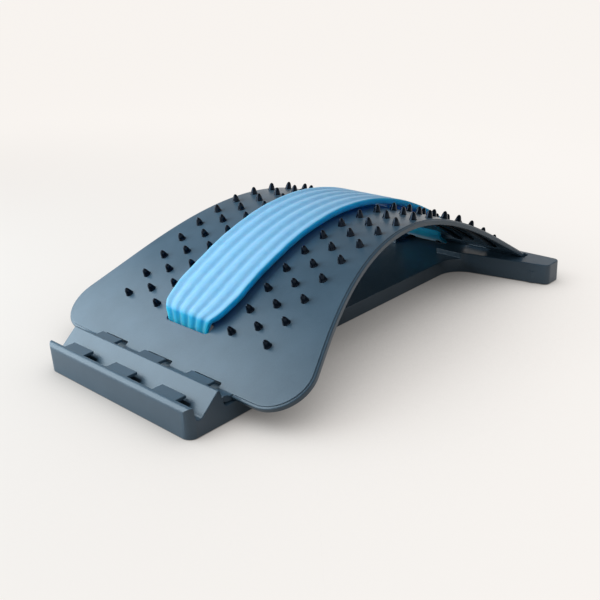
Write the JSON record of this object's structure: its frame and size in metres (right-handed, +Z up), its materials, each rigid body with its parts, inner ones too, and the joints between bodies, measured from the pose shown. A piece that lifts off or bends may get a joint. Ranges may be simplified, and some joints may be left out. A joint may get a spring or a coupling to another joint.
{
  "type": "back stretcher",
  "caption": "Back stretcher: a springy arched board with massage studs and a ribbed foam strip, hinged on one end of a base board and resting in notches at the other.",
  "frame": {"origin": "on the floor under the middle of the base board", "axes": "+X along the board towards the hinge, +Y to its left side, +Z up"},
  "size_m": [0.376, 0.2526, 0.0918],
  "materials": {
    "slate_plastic": "fine moulded grain, satin",
    "gloss_black_plastic": "smooth and glossy",
    "sky_blue_foam": "soft closed-cell foam, matte",
    "black_rubber": "matte"
  },
  "bodies": {
    "base": {"base_board": "slate_plastic", "foot_near_left": "black_rubber", "foot_near_right": "black_rubber", "foot_middle_left": "black_rubber", "foot_middle_right": "black_rubber", "foot_far_left": "black_rubber", "foot_far_right": "black_rubber"},
    "arch": {"arch_board": "slate_plastic", "studs_left_outer": "gloss_black_plastic", "studs_left_middle": "gloss_black_plastic", "studs_left_inner": "gloss_black_plastic", "studs_right_outer": "gloss_black_plastic", "studs_right_middle": "gloss_black_plastic", "studs_right_inner": "gloss_black_plastic", "foam_pad": "sky_blue_foam", "pad_rivet_near_left": "gloss_black_plastic", "pad_rivet_near_right": "gloss_black_plastic", "pad_rivet_far_left": "gloss_black_plastic", "pad_rivet_far_right": "gloss_black_plastic"}
  },
  "joints": [
    {"name": "arch_lift", "type": "hinge", "parent": "base", "child": "arch", "pos_m": [0.17961, 0, 0.0172], "axis": [0, 1, 0], "range_deg": [0, 75]}
  ]
}
